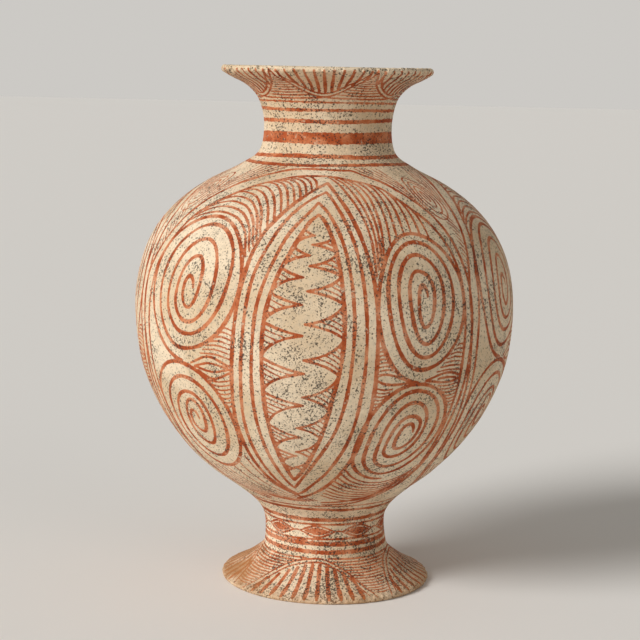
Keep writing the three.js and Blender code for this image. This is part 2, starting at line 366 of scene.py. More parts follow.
def pole_tris(pole, first, columns, turned_over):
    """A fan of triangles between a point on the axis and a row of points."""
    column = np.arange(columns)
    here = first + column
    following = first + (column + 1) % columns
    middle = np.full(columns, pole)
    if turned_over:
        return np.c_[middle, following, here]
    return np.c_[middle, here, following]


def lean_at(height):
    return np.interp(height, LEAN_HEIGHTS, LEANS)


def turned_points(radius, height, turns):
    """Points of a section turned about the leaning axis, one row for each radius."""
    around = np.radians(turns)
    radius = np.broadcast_to(radius, (radius.shape[0], len(turns)))
    height = np.broadcast_to(height, radius.shape)
    x = radius * np.sin(around) + lean_at(height)
    y = -radius * np.cos(around)
    return np.stack([x, y, height], -1)


def skin_points(outline, climbs, turns):
    """Points of the outer face, with the hand's unevenness and the worn edges."""
    radius, height = outline.at(climbs)
    out, up = outline.normal(climbs)
    push = unevenness(turns, climbs) - edge_wear(turns, climbs, outline.length)
    level = np.clip(height / LEVEL_HEIGHT, 0, 1)[:, None]
    skin_radius = radius[:, None] + push * out[:, None]
    skin_height = height[:, None] + push * up[:, None] * level
    return turned_points(skin_radius, skin_height, turns)


def pole_fans(count, rows, columns):
    """The triangles that close both ends of a section on two points after all the others."""
    return np.concatenate([
        pole_tris(count, 0, columns, True),
        pole_tris(count + 1, (rows - 1) * columns, columns, False),
    ])


def clay_ring(name, outline, painting, climbs, hidden_rows, columns, poles=False):
    """One ring of clay: a fine painted skin over the climbs, then plain hidden rows.

    hidden_rows are (radius, height) places that close the section on the inside. With poles,
    the section starts and ends on the axis instead, and the hidden rows come as a pair:
    those before the skin and those after it.
    """
    turns = np.arange(columns) * 360 / columns
    pair = hidden_rows if poles else ((), hidden_rows)
    before, after = (np.asarray(places, float).reshape(-1, 2) for places in pair)
    points = np.concatenate([
        turned_points(before[:, :1], before[:, 1:], turns),
        skin_points(outline, climbs, turns),
        turned_points(after[:, :1], after[:, 1:], turns),
    ]).reshape(-1, 3)
    hidden = ((len(before), len(after)), (0, 0))
    paint = np.pad(painting.reach(turns, climbs), hidden, constant_values=HIDDEN).ravel()
    rows = len(points) // columns
    quads = ring_quads(rows, columns, closed=not poles)
    tris = np.zeros((0, 3), int)
    if poles:
        tris = pole_fans(len(points), rows, columns)
        ends = np.array([[lean_at(height), 0, height] for height in outline.floor_heights])
        points = np.vstack([points, ends])
        paint = np.concatenate([paint, [HIDDEN, HIDDEN]])
    return add_object(name, points, quads, tris, paint)


# The brush

NO_PAINT = -2.0
BRUSH_STEP = 0.35
BRUSH_REACH = 3.0
TAPER_LENGTH = 10.0
CURVE_STEPS = 10
CUSP_STEPS = 30
OVAL_STEPS = 14
# How much a tooth's bow shifts its bend in turn and in climb
CUSP_BEND_TURN = 0.35
CUSP_BEND_CLIMB = 0.3
# The hand's slow and quick changes of a stroke's width, each with its length
SLOW_SWAY, SLOW_SWAY_LENGTH = 0.1, 9
QUICK_SWAY, QUICK_SWAY_LENGTH = 0.06, 3.7
HATCH_TAPER = 0.15
TOOTH_EDGE_TAPER = 0.15
TOOTH_LINE_TAPER = 0.1
BAND_FRAY_PITCH = 5
BAND_FRAY = 0.7


def cusp(root, tip, bow):
    """A curve from a root to a pointed tip, which bends the more the larger the bow is."""
    share = np.linspace(0, 1, CUSP_STEPS)[:, None]
    bend_turn = blend(root[0], tip[0], 0.5 - CUSP_BEND_TURN * bow)
    bend_climb = blend(root[1], tip[1], 0.5 + CUSP_BEND_CLIMB * bow)
    bend = np.array([bend_turn, bend_climb])
    return root * (1 - share) ** 2 + 2 * bend * share * (1 - share) + tip * share**2


class Painting:
    """Brush strokes on the skin, kept as dabs: turn, climb and half width."""

    def __init__(self, outline):
        self.outline = outline
        self.dabs = []
        self.bands = []
        self.spread = lambda turns: turns

    def stroke(self, places, width, taper=0.5):
        """A brush stroke along places, thinner towards both ends by taper."""
        places = np.array(places, float)
        radius, _ = self.outline.at(places[:, 1])
        turns = self.spread(places[:, 0])
        across_ = np.diff(np.radians(turns)) * (radius[1:] + radius[:-1]) / 2
        steps = np.hypot(across_, np.diff(places[:, 1]))
        along = np.concatenate([[0], np.cumsum(steps)])
        count = max(2, int(along[-1] / BRUSH_STEP) + 1)
        spots = np.linspace(0, along[-1], count)
        from_end = np.minimum(spots, along[-1] - spots)
        press = 1 - taper * np.clip(1 - from_end / TAPER_LENGTH, 0, 1) ** 2
        slow = SLOW_SWAY * np.sin(spots / SLOW_SWAY_LENGTH + places[0, 1])
        sway = 1 + slow + QUICK_SWAY * np.sin(spots / QUICK_SWAY_LENGTH)
        half = width / 2 * press * sway
        dab_turns = np.interp(spots, along, turns)
        dab_climbs = np.interp(spots, along, places[:, 1])
        self.dabs.append(np.c_[dab_turns, dab_climbs, half])

    def curve(self, places, width, taper=0.5):
        self.stroke(smooth_curve(places, CURVE_STEPS), width, taper)

    def ray(self, turn, places, width, taper):
        """A straight stroke through places, each a share of the ray's turn and a climb."""
        self.stroke([(turn * share, climb) for share, climb in places], width, taper)

    def fan(self, first, last, count, width, taper):
        """Strokes that change evenly from the first one to the last one."""
        first = np.array(first, float)
        last = np.array(last, float)
        for share in np.linspace(0, 1, count):
            self.curve(blend(first, last, share), width, taper)

    def hatch(self, left, right, count, width, sag):
        """Short strokes between two edges, each of which runs from its low end to its high one."""
        for share in np.linspace(0, 1, count):
            start = blend(np.array(left[0], float), np.array(left[1], float), share)
            end = blend(np.array(right[0], float), np.array(right[1], float), share)
            middle = (start + end) / 2 - (0, sag)
            self.curve([start, middle, end], width, HATCH_TAPER)

    def oval(self, extremes, width):
        """A closed or winding line through its lowest, outermost and highest places in turn."""
        quarter = np.linspace(0, math.pi / 2, OVAL_STEPS)[:, None]
        rise = np.sin(quarter)
        fall = 1 - np.cos(quarter)
        shares = (np.hstack([rise, fall]), np.hstack([fall, rise]))
        places = np.array(extremes, float)
        runs = [
            start + (end - start) * shares[index % 2]
            for index, (start, end) in enumerate(zip(places, places[1:]))
        ]
        self.stroke(np.vstack(runs), width)

    def tooth(self, first_root, tip, second_root, first_bow, second_bow):
        """Two bold edges that meet in a tip, and fine lines that run beside the first edge."""
        first = cusp(first_root, tip, first_bow)
        second = cusp(second_root, tip, second_bow)
        self.stroke(first, TOOTH_EDGE, TOOTH_EDGE_TAPER)
        self.stroke(second, TOOTH_EDGE, TOOTH_EDGE_TAPER)
        depth = second_root - first_root
        order = np.argsort(second[:, 0])
        lines = max(1, round(abs(depth[1]) / TOOTH_PITCH) - 1)
        for share in np.linspace(0, 1, lines + 2)[1:-1]:
            line = first + depth * share
            edge = np.interp(line[:, 0], second[order, 0], second[order, 1])
            inside = (line[:, 1] - edge) * depth[1] < 0
            end = int(np.argmin(inside))
            if end > 2:
                self.stroke(line[:end], TOOTH_LINE, TOOTH_LINE_TAPER)

    def band(self, climb, width, wave, wave_turn):
        """A line right round the jar that wavers by a wave, in millimetres."""
        self.bands.append((climb, width / 2, wave, wave_turn))

    def reach(self, turns, climbs):
        """How far each place lies inside the nearest brush mark; outside it is below zero."""
        grid = np.full((len(climbs), len(turns)), NO_PAINT)
        self.lay_bands(grid, turns, climbs)
        self.lay_dabs(grid, climbs)
        return grid

    def lay_bands(self, grid, turns, climbs):
        around = np.radians(turns)
        ragged = lattice_noise(turns, climbs, BAND_FRAY_PITCH, seed=31) - 0.5
        for climb, half, wave, wave_turn in self.bands:
            sway = np.sin(around - math.radians(wave_turn)) + 0.5 * np.sin(3 * around + climb)
            middle = climb + wave * sway
            depth = half + BAND_FRAY * ragged - np.abs(climbs[:, None] - middle[None, :])
            np.maximum(grid, depth, out=grid)

    def lay_dabs(self, grid, climbs):
        if not self.dabs:
            return
        dabs = np.vstack(self.dabs)
        near = (dabs[:, 1] > climbs[0] - BRUSH_REACH) & (dabs[:, 1] < climbs[-1] + BRUSH_REACH)
        dabs = dabs[near]
        rows, columns = grid.shape
        row_step = (climbs[-1] - climbs[0]) / (rows - 1)
        column_step = 360 / columns
        row = np.round((dabs[:, 1] - climbs[0]) / row_step).astype(int)
        column = np.round(dabs[:, 0] / column_step).astype(int)
        size = self.outline.at(dabs[:, 1])[0] * math.radians(1)
        row_reach = int(BRUSH_REACH / row_step) + 1
        column_reach = int(BRUSH_REACH / (column_step * size.min())) + 1 if len(size) else 0
        flat = grid.ravel()
        for down in range(-row_reach, row_reach + 1):
            at_row = row + down
            inside = (at_row >= 0) & (at_row < rows)
            up = climbs[0] + at_row * row_step - dabs[:, 1]
            for side in range(-column_reach, column_reach + 1):
                at_column = column + side
                over = (at_column * column_step - dabs[:, 0]) * size
                depth = dabs[:, 2] - np.hypot(over, up)
                kept = inside & (depth > NO_PAINT)
                spot = at_row[kept] * columns + at_column[kept] % columns
                np.maximum.at(flat, spot, depth[kept])
        grid[:] = flat.reshape(grid.shape)


# The drawing of one panel, as (turn, climb) places on the front of the jar

# Widths of the brush marks
BOLD = 2.9
OVAL_LINE = 2.8
LINE = 2.5
FAN = 1.8
SWEEP = 1.6
FINE = 1.4
HATCH = 1.15
HAIR = 1.0
# How much thinner each kind of stroke is at its ends
LINE_TAPER = 0.2
FAN_TAPER = 0.4
SWEEP_TAPER = 0.1
CORNER_TAPER = 0.3

ARCH_OUTER_LEFT = (
    (0, 398), (-15, 398.5), (-25, 396), (-33, 391), (-38, 386.5), (-42, 380.4), (-48, 370.4),
    (-53, 358), (-57, 342), (-60, 325), (-64, 300), (-65.5, 288), (-65.9, 270), (-65.3, 250),
    (-63.7, 195), (-62.5, 160), (-60, 135), (-56, 118), (-48, 104), (-36, 97),
)
ARCH_INNER_LEFT = (
    (0, 389.5), (-15, 388.5), (-25, 382.7), (-34, 374.2), (-41, 364.2), (-48, 350.4),
    (-53, 338), (-58, 312), (-60.5, 298), (-61.5, 275), (-62, 250), (-61.3, 200),
    (-60.5, 160), (-58.5, 138), (-54, 121), (-46, 108), (-34, 100),
)
ARCH_OUTER_RIGHT = (
    (0, 398), (10, 397), (15.8, 396.5), (23, 389.6), (29.5, 380.4), (34.2, 369.6),
    (38.4, 357.3), (41.6, 345), (44, 330), (46, 305), (47, 285), (47, 240), (46, 200),
    (45, 170), (44, 140), (41, 122), (33, 106.5), (20, 97), (0, 94),
)
ARCH_INNER_RIGHT = (
    (0, 389.5), (5, 388), (13, 383.5), (20, 378.8), (26.3, 372), (30, 362), (34.2, 349.6),
    (37.9, 338), (41, 323), (43.4, 300), (44.2, 270), (44.2, 235), (43.6, 190), (43.2, 160),
    (42, 133), (36, 115.5), (27, 106), (10, 99.5), (0, 98),
)

# Four outlines of the pointed lens in the middle, from its upper point down each side
LENS_LEFT = (
    (
        (-2.5, 344), (-5, 338.5), (-9.6, 317), (-14.2, 291), (-16.7, 261.5), (-17.1, 221),
        (-16.5, 190), (-15.2, 167), (-12.5, 142), (-11.2, 134),
    ),
    (
        (-3, 356), (-5, 349), (-11.2, 329), (-15.2, 306), (-18.7, 277), (-19.8, 250),
        (-20.4, 221), (-20.2, 190), (-18.1, 156), (-13.8, 127), (-12.5, 123),
    ),
    (
        (0, 368), (-6.2, 358.7), (-12.7, 342), (-17.3, 319), (-20.8, 294), (-22.9, 250),
        (-23.8, 221), (-24.6, 190), (-23.7, 165), (-20.8, 140), (-16.5, 121), (-12.5, 113),
    ),
    (
        (0.4, 380), (-5, 371), (-11.5, 357), (-16.9, 340), (-20.8, 323), (-23.8, 292),
        (-25.7, 250), (-26.7, 221), (-27.5, 190), (-26.3, 160), (-23, 136), (-17, 117),
        (-11.5, 107.5),
    ),
)
LENS_RIGHT = (
    (
        (-2.5, 344), (-0.8, 340), (1.5, 329), (4, 308), (5.4, 283), (5.8, 258), (5, 235),
        (2.9, 211.5), (0.4, 185), (-3.5, 161.5), (-7.7, 144), (-11.2, 134),
    ),
    (
        (-3, 356), (0.8, 346), (5, 325), (7.5, 298), (8.5, 267), (7.9, 231), (6, 200),
        (3.1, 179), (-2.3, 156), (-8.5, 134), (-12.5, 123),
    ),
    (
        (0, 368), (2.7, 358.7), (7.3, 334.6), (10.2, 308), (11.7, 277), (12.1, 244),
        (11.3, 213.5), (9.6, 185), (6.2, 161.5), (0.8, 140), (-6.2, 123), (-9, 117),
        (-14.5, 109.5),
    ),
    (
        (0.4, 380), (4.6, 364.4), (8.8, 344), (12.3, 317), (14.6, 286.5), (15.2, 252),
        (15, 215), (13.3, 181), (11, 160), (6.5, 138.5), (0.8, 123), (-6, 112), (-14, 104),
    ),
)
LENS_WIDTHS = (BOLD, LINE, LINE, BOLD)
TOOTH_EDGE = 1.9
TOOTH_LINE = 1.05
TOOTH_PITCH = 3.7
# How far the first root lies above the first tip, and the last root below the last tip
ROOT_ABOVE = 5
ROOT_BELOW = 4

# Tips of the teeth inside the lens. Their roots share out the edge between them.
TEETH_LEFT = (
    (-3.3, 326), (-4.4, 311), (-6, 295.6), (-6, 277.3), (-5.6, 256.7), (-5, 230.8),
    (-5.5, 207.5), (-6.9, 181), (-8.5, 163), (-10, 149),
)
TEETH_RIGHT = (
    (-4, 319), (-4.4, 303.5), (-4.8, 286.5), (-5, 264.4), (-5.2, 240), (-5.6, 213.5),
    (-7.7, 189), (-8.5, 167), (-9.6, 151),
)

# The four winding ovals, from the lowest place of each outer ring inwards, a quarter at a time
OVALS = (
    (
        (-44.5, 232), (-60, 290), (-41, 337.5), (-24.4, 292), (-44.5, 240.5), (-55.3, 282),
        (-40, 330.5), (-28, 300), (-42.5, 251), (-51, 277), (-40, 318.5), (-33, 293),
        (-42, 259.5), (-47.4, 276), (-41, 305.5), (-38, 293), (-42, 269.5), (-44.5, 280),
        (-42.6, 291), (-40.6, 283),
    ),
    (
        (-60.6, 160), (-61.4, 192), (-46.5, 230), (-28.1, 180), (-43, 142.5), (-57, 183),
        (-45, 219.7), (-32.4, 185), (-43, 153.3), (-53.4, 180), (-44.5, 208.5), (-37.5, 188),
        (-43, 165), (-48.6, 181), (-44, 202.5), (-40.3, 191), (-43.4, 176), (-46.9, 185),
        (-44.6, 193.8), (-43, 187),
    ),
    (
        (28.5, 223.5), (15.2, 275), (28.5, 327.8), (43.9, 278), (29, 232), (18.2, 285),
        (29, 321), (39.7, 285), (30, 240.5), (21.4, 285), (28, 311.5), (36.2, 285),
        (30, 250), (24.8, 285), (28, 300), (32.9, 285), (29.5, 261.5), (27.6, 276),
        (29, 290), (30.6, 282),
    ),
    (
        (27, 135), (11.4, 162), (28, 222), (42.3, 188), (26, 141.5), (15.4, 163),
        (28.5, 217), (39.3, 188), (26, 150.2), (19.4, 164), (28.5, 208), (35, 188),
        (26, 160.5), (22.2, 168), (28.6, 197), (33, 188), (27, 168.5), (25.3, 174),
        (29, 190.5), (31, 183),
    ),
)

# The strokes between the arch and the lens: some of them, between which the rest change evenly
LEFT_FAN = (
    ((-55, 330), (-49, 338), (-41, 341.8), (-33, 338), (-27.5, 328), (-24.2, 308)),
    ((-46, 354), (-43, 361), (-38.5, 364), (-31.5, 361), (-25, 348), (-21, 323)),
    ((-34, 374.5), (-31, 377), (-26, 376), (-21.5, 369), (-18.3, 357), (-16.2, 342)),
    ((-12, 389), (-9.5, 388.5), (-7, 385.5), (-5.4, 381.5), (-4.8, 377), (-4.4, 372)),
)
LEFT_FAN_COUNTS = (5, 4, 7)
RIGHT_FAN = (
    ((1, 388), (5, 381), (9, 366), (12.4, 348), (14.4, 328), (15.1, 297)),
    ((10, 386), (15, 376.5), (17.8, 365), (18.7, 350), (18.8, 334), (17.8, 310)),
    ((20, 379), (22.4, 371), (23.6, 361), (24, 350), (23.8, 340), (23.4, 325)),
    ((27, 371.5), (28.7, 363), (29.4, 355), (29.6, 346), (29.5, 338), (29.2, 327)),
    ((33, 353), (34.2, 347.5), (34.9, 342), (35.2, 336), (35.4, 330), (35.5, 322)),
)
RIGHT_FAN_COUNTS = (4, 3, 3, 3)

# The pointed eyes in the waists between the ovals, stroke by stroke
EYES = (
    ((-39.5, 229.2), (-34, 232.6), (-26.8, 230)),
    ((-39.5, 229.2), (-33, 226.8), (-26.8, 230)),
    ((-41, 231), (-34, 237.2), (-27, 231.8)),
    ((-38.5, 226.6), (-33, 221.8), (-27, 227.4)),
    ((15.2, 229), (17.6, 230.2), (20.5, 229), (23, 226.5), (26, 224)),
    ((15.6, 226), (17.6, 223.6), (20, 222.6), (23, 222.8), (26, 223.6)),
    ((31, 224), (34, 226.2), (37, 228), (40.5, 228), (43.5, 225.8)),
    ((31, 224), (34, 222.8), (37, 221.6), (40.5, 221.6), (43.5, 223.4)),
    ((35.4, 224.4), (37.2, 224.9), (39, 225), (40.8, 224.7), (42.2, 224.2)),
)
# The hatching above and below them: its left edge, its right edge and the sag of its lines
EYE_HATCHES = (
    (((-37, 239), (-30.2, 257)), ((-26.7, 237), (-26, 257)), -1.5),
    (((-35.4, 220.4), (-30, 203)), ((-27, 222), (-27.6, 203)), 1.2),
    (((15.2, 232.2), (15.6, 248)), ((21.2, 232.6), (16.8, 248)), -1),
    (((34.6, 229.6), (41.5, 247)), ((44.1, 229.4), (44.1, 247)), -1),
    (((15.1, 220.6), (14.4, 204)), ((20.4, 219.4), (16.2, 205)), 1),
    (((35.4, 219.4), (41, 204)), ((43.9, 220.2), (43.6, 204)), 1),
)
EYE_HATCH_LINES = 7

# Nested arcs that fill the foot of the panel
RIGHT_SWEEPS = (
    ((9.7, 148), (13, 139.5), (17, 134), (22, 130.5), (28, 129.5), (34, 132), (39, 138), (42, 147)),
    ((5, 129), (10, 122), (15, 118), (20, 116), (26, 115.2), (31, 117), (36, 122), (40.5, 131)),
    ((0, 111), (5, 106), (10, 103), (16, 101.2), (20, 101), (24, 102.4), (28, 105), (32, 109)),
)
LEFT_SWEEPS = (
    ((-29, 158), (-26, 140), (-20.5, 122), (-12, 108), (-3, 101)),
    ((-43, 139), (-37, 123), (-29, 111.5), (-20, 104), (-10, 99)),
    ((-57, 140), (-50, 120), (-41, 108.5), (-31, 102.5), (-20, 99)),
)
RIGHT_SWEEP_COUNTS = (5, 5)
LEFT_SWEEP_COUNTS = (4, 5)

# What fills the corners above the arches
RIGHT_CORNER = (
    ((18, 399.5), (24, 393), (29.5, 383.5), (34, 372), (37.8, 360), (41, 346)),
    ((34, 399.5), (36.4, 393.5), (38, 387.5), (39, 382), (39.6, 377), (40, 372)),
)
LEFT_CORNER = (
    ((-28, 400), (-36.5, 393.5), (-43.5, 382.5), (-49.5, 369), (-54.5, 355), (-58.5, 338)),
    ((-49, 400), (-51.4, 394.5), (-53.2, 388.5), (-54.6, 383), (-55.6, 378), (-56.4, 372)),
)
CORNER_STROKES = 5
# The nested ovals where two corners meet, by half width and half height
CORNER_OVAL_CLIMB = 362
CORNER_OVAL_SHIFT = 0.6
CORNER_OVALS = ((1, 6), (2.9, 12), (4.9, 18), (6.9, 24))
CORNER_HATCH = (((-65.2, 346), (-65.6, 296)), ((-60.8, 334), (-64.6, 292)))
CORNER_HATCH_LINES = 11
CORNER_HATCH_SAG = -1


def chain(painting, strokes, counts, width, taper):
    """A run of strokes that changes evenly from each given stroke to the next."""
    for first, last, count in zip(strokes, strokes[1:], counts):
        painting.fan(first, last, count, width, taper)


def paint_teeth(painting, tips, edge, root_share, high_bow, low_bow, from_high):
    """A row of teeth whose roots lie side by side along one edge of the lens."""
    edge = smooth_curve(edge, CURVE_STEPS)[::-1]
    levels = [tip[1] for tip in tips]
    between = [blend(high, low, root_share) for high, low in zip(levels, levels[1:])]
    ends = [levels[0] + ROOT_ABOVE, *between, levels[-1] - ROOT_BELOW]
    for tip, high, low in zip(tips, ends, ends[1:]):
        high_root, low_root = (
            np.array([np.interp(level, edge[:, 1], edge[:, 0]), level]) for level in (high, low)
        )
        if from_high:
            painting.tooth(high_root, np.array(tip), low_root, high_bow, low_bow)
        else:
            painting.tooth(low_root, np.array(tip), high_root, low_bow, high_bow)


def paint_lens(painting):
    for left, right, width in zip(LENS_LEFT, LENS_RIGHT, LENS_WIDTHS):
        painting.curve(left, width, LINE_TAPER)
        painting.curve(right, width, LINE_TAPER)
    paint_teeth(
        painting, TEETH_LEFT, LENS_LEFT[0],
        root_share=0.6, high_bow=0.45, low_bow=0.95, from_high=True)
    paint_teeth(
        painting, TEETH_RIGHT, LENS_RIGHT[0],
        root_share=0.4, high_bow=0.8, low_bow=0.7, from_high=False)


def paint_corner_ovals(painting):
    middle = PANEL_LEFT + CORNER_OVAL_SHIFT
    for across_, up in CORNER_OVALS:
        low = (middle, CORNER_OVAL_CLIMB - up)
        left = (middle - across_, CORNER_OVAL_CLIMB)
        high = (middle, CORNER_OVAL_CLIMB + up)
        right = (middle + across_, CORNER_OVAL_CLIMB)
        painting.oval((low, left, high, right, low), FINE)


def paint_panel(painting):
    for arch in (ARCH_OUTER_LEFT, ARCH_INNER_LEFT, ARCH_OUTER_RIGHT, ARCH_INNER_RIGHT):
        painting.curve(arch, LINE, LINE_TAPER)
    paint_lens(painting)
    for oval in OVALS:
        painting.oval(oval, OVAL_LINE)
    chain(painting, LEFT_FAN, LEFT_FAN_COUNTS, FAN, FAN_TAPER)
    chain(painting, RIGHT_FAN, RIGHT_FAN_COUNTS, FAN, FAN_TAPER)
    for eye in EYES:
        painting.curve(eye, FAN, LINE_TAPER)
    for left, right, sag in EYE_HATCHES:
        painting.hatch(left, right, EYE_HATCH_LINES, HATCH, sag)
    chain(painting, RIGHT_SWEEPS, RIGHT_SWEEP_COUNTS, SWEEP, SWEEP_TAPER)
    chain(painting, LEFT_SWEEPS, LEFT_SWEEP_COUNTS, HATCH, SWEEP_TAPER)
    for first, last in (RIGHT_CORNER, LEFT_CORNER):
        painting.fan(first, last, CORNER_STROKES, HAIR, CORNER_TAPER)
    painting.hatch(*CORNER_HATCH, CORNER_HATCH_LINES, HAIR, CORNER_HATCH_SAG)
    paint_corner_ovals(painting)


# The drawing round the foot, the neck and the mouth

PANEL_LEFT = -65.7
PANEL_RIGHT = 47.0
OTHER_PANEL = (360 - (PANEL_RIGHT - PANEL_LEFT)) / 2
# How closely the right panel's drawing starts, as a share of the front one's spacing
CROWDING = 0.88
# The chain of eyes under the body: half length and half height of its two outlines
BASE_EYES = 9
BASE_EYE_TURN = -6.5
BASE_EYE_CLIMB = 63
BASE_EYE_OUTLINES = ((17, 4.4), (12, 2))
BASE_EYE_BAR = 7
BASE_EYE_BAR_TAPER = 0.6
# The link from one eye to the next, as a turn and a climb from the eye's middle
BASE_EYE_LINK = ((-17, 0), (-20, 0.4), (-23, 0))
FOOT_ARCHES = 4
FOOT_ARCH_TURN = -8.0
SCALLOPS = 6
SCALLOP_TURN = -2.0

FOOT_ARCH = (
    (-43.5, 4), (-41.5, 10), (-39, 17), (-36, 24), (-32.5, 29.5), (-28.5, 34), (-24, 37.5),
    (-18, 40), (-10, 41.8), (2, 42.8), (9, 41.5), (15, 38.8), (20, 35.4), (25, 30.5),
    (29, 25), (33, 17), (36, 10), (38, 4),
)
# The second line lies inside the arch, at a share of its turn and a gap below it
FOOT_ARCH_SHARE = 0.93
FOOT_ARCH_GAP = 2.8
FOOT_RAYS = (-35, -29, -22.5, -16, -9.5, -3, 3.5, 10, 16.5, 23, 29)
FOOT_RAY = 2.8
FOOT_RAY_TAPER = 0.2
# The climb of the middle ray's top, and how much lower the others end for each squared degree
FOOT_RAY_TOP = 38.0
FOOT_RAY_DROP = 0.014
# A ray's lower places and its broader root, as shares of its turn and climbs
FOOT_RAY_PLACES = ((1.02, 5), (0.98, 20))
FOOT_RAY_ROOT = ((1.02, 6.5), (1, 15))
FOOT_ROOT_EXTRA = 0.9
FOOT_ROOT_TAPER = 0.3
# The hatching between two arches: how many lines, their width, their lowest and highest
# climb, the highest climb at which the arch is measured for them, and their sag
FOOT_HATCHES = 14
FOOT_HATCH = 1.3
FOOT_HATCH_CLIMBS = (10, 43)
FOOT_HATCH_LIMIT = 42
FOOT_HATCH_SAG = 0.8
# How far a hatching line stays away from an arch, in degrees
HATCH_CLEARANCE = 1
SCALLOP_EDGE = (
    (-30.5, 489), (-28.5, 481), (-25.5, 472), (-20, 464), (-11, 457.8), (0, 455.5), (10, 458.5),
    (17.5, 464), (24, 471.5), (28, 480), (30, 489),
)
SCALLOP_RAYS = (-24.5, -19.5, -14.5, -9.5, -4.5, 0.5, 5.5, 10.5, 15.5, 20.5, 25)
SCALLOP_RAY = 2.3
SCALLOP_RAY_TAPER = 0.25
# The second line lies inside the scallop, at a share of its turn and a gap above it
SCALLOP_SHARE = 0.9
SCALLOP_GAP = 2.8
# The climb of the middle ray's base, and how much higher the others start per squared degree
SCALLOP_RAY_BASE = 459.5
SCALLOP_RAY_RISE = 0.018
# A ray's places, as shares of its turn and climbs
SCALLOP_RAY_ROOT_SHARE = 0.92
SCALLOP_RAY_PLACES = ((1, 472), (1.06, 487.8))
# The hatching between two scallops: how many lines, the lowest climb, their pitch and sag, and
# their gap from the scallop
SCALLOP_HATCHES = 13
SCALLOP_HATCH_CLIMB = 454.8
SCALLOP_HATCH_PITCH = 2.5
SCALLOP_HATCH_SAG = 0.6
SCALLOP_HATCH_GAP = 0.8
# Climbs are counted down from here where a scallop is measured as an upright arch
SCALLOP_FLIP = 950
ARCH_STEPS = 8
# Bands as climb, width, wave and the turn of the wave's highest place
BANDS = (
    (48, 3, 0.5, 40),
    (53.3, 3.2, 0.5, -60),
    (57.3, 1.6, 0.5, 20),
    (69.2, 1.6, 0.5, 120),
    (74, 3.6, 0.6, 60),
    (86, 3.6, 0.8, 200),
    (92, 1.6, 0.8, 10),
    (402.3, 3.6, 1.0, -70),
    (411, 3.4, 1.2, -80),
    (425.4, 8, 0.6, -60),
    (437.8, 2.6, 0.5, 30),
    (446, 2.2, 0.5, 100),
    (451.3, 1.4, 0.4, 200),
)


def panel_spreads():
    """How a turn on the front panel is spread over each of the three panels."""
    width = PANEL_RIGHT - PANEL_LEFT
    bend = (OTHER_PANEL - CROWDING * width) / width**2

    def front(turns):
        return turns

    def right(turns):
        along = turns - PANEL_LEFT
        return PANEL_RIGHT + CROWDING * along + bend * along**2

    def left(turns):
        along = turns - PANEL_LEFT
        return PANEL_RIGHT + OTHER_PANEL + along * OTHER_PANEL / width

    return front, right, left


def turned_by(turn):
    return lambda turns: turns + turn


def paint_base(painting):
    """The chain of pointed eyes round the bottom of the body."""
    level = BASE_EYE_CLIMB
    for index in range(BASE_EYES):
        painting.spread = turned_by(BASE_EYE_TURN + index * 360 / BASE_EYES)
        for reach, rise in BASE_EYE_OUTLINES:
            for bend in (rise, -rise):
                painting.curve(((-reach, level), (0, level + bend), (reach, level)), FINE)
        bar = ((-BASE_EYE_BAR, level), (0, level), (BASE_EYE_BAR, level))
        painting.curve(bar, LINE, BASE_EYE_BAR_TAPER)
        painting.curve([(turn, level + up) for turn, up in BASE_EYE_LINK], FINE)


def edge_turn(edge, climb, right):
    """The turn at which one side of an arch reaches a climb."""
    curve = smooth_curve(edge, ARCH_STEPS)
    top = int(np.argmax(curve[:, 1]))
    side = curve[top:][::-1] if right else curve[: top + 1]
    return float(np.interp(climb, side[:, 1], side[:, 0]))


def paint_foot(painting):
    """Arches of rays on the flare of the foot, with hatching between the arches."""
    pitch = 360 / FOOT_ARCHES
    inner = [(turn * FOOT_ARCH_SHARE, climb - FOOT_ARCH_GAP) for turn, climb in FOOT_ARCH[1:-1]]
    for index in range(FOOT_ARCHES):
        painting.spread = turned_by(FOOT_ARCH_TURN + index * pitch)
        painting.curve(FOOT_ARCH, FINE)
        painting.curve(inner, FINE)
        for turn in FOOT_RAYS:
            top = (FOOT_ARCH_SHARE, FOOT_RAY_TOP - FOOT_RAY_DROP * turn**2)
            painting.ray(turn, (*FOOT_RAY_PLACES, top), FOOT_RAY, FOOT_RAY_TAPER)
            painting.ray(turn, FOOT_RAY_ROOT, FOOT_RAY + FOOT_ROOT_EXTRA, FOOT_ROOT_TAPER)
        for climb in np.linspace(*FOOT_HATCH_CLIMBS, FOOT_HATCHES):
            level = min(climb, FOOT_HATCH_LIMIT)
            start = edge_turn(FOOT_ARCH, level, True) + HATCH_CLEARANCE
            end = pitch + edge_turn(FOOT_ARCH, level, False) - HATCH_CLEARANCE
            middle = ((start + end) / 2, climb - FOOT_HATCH_SAG)
            painting.curve(((start, climb), middle, (end, climb)), FOOT_HATCH)


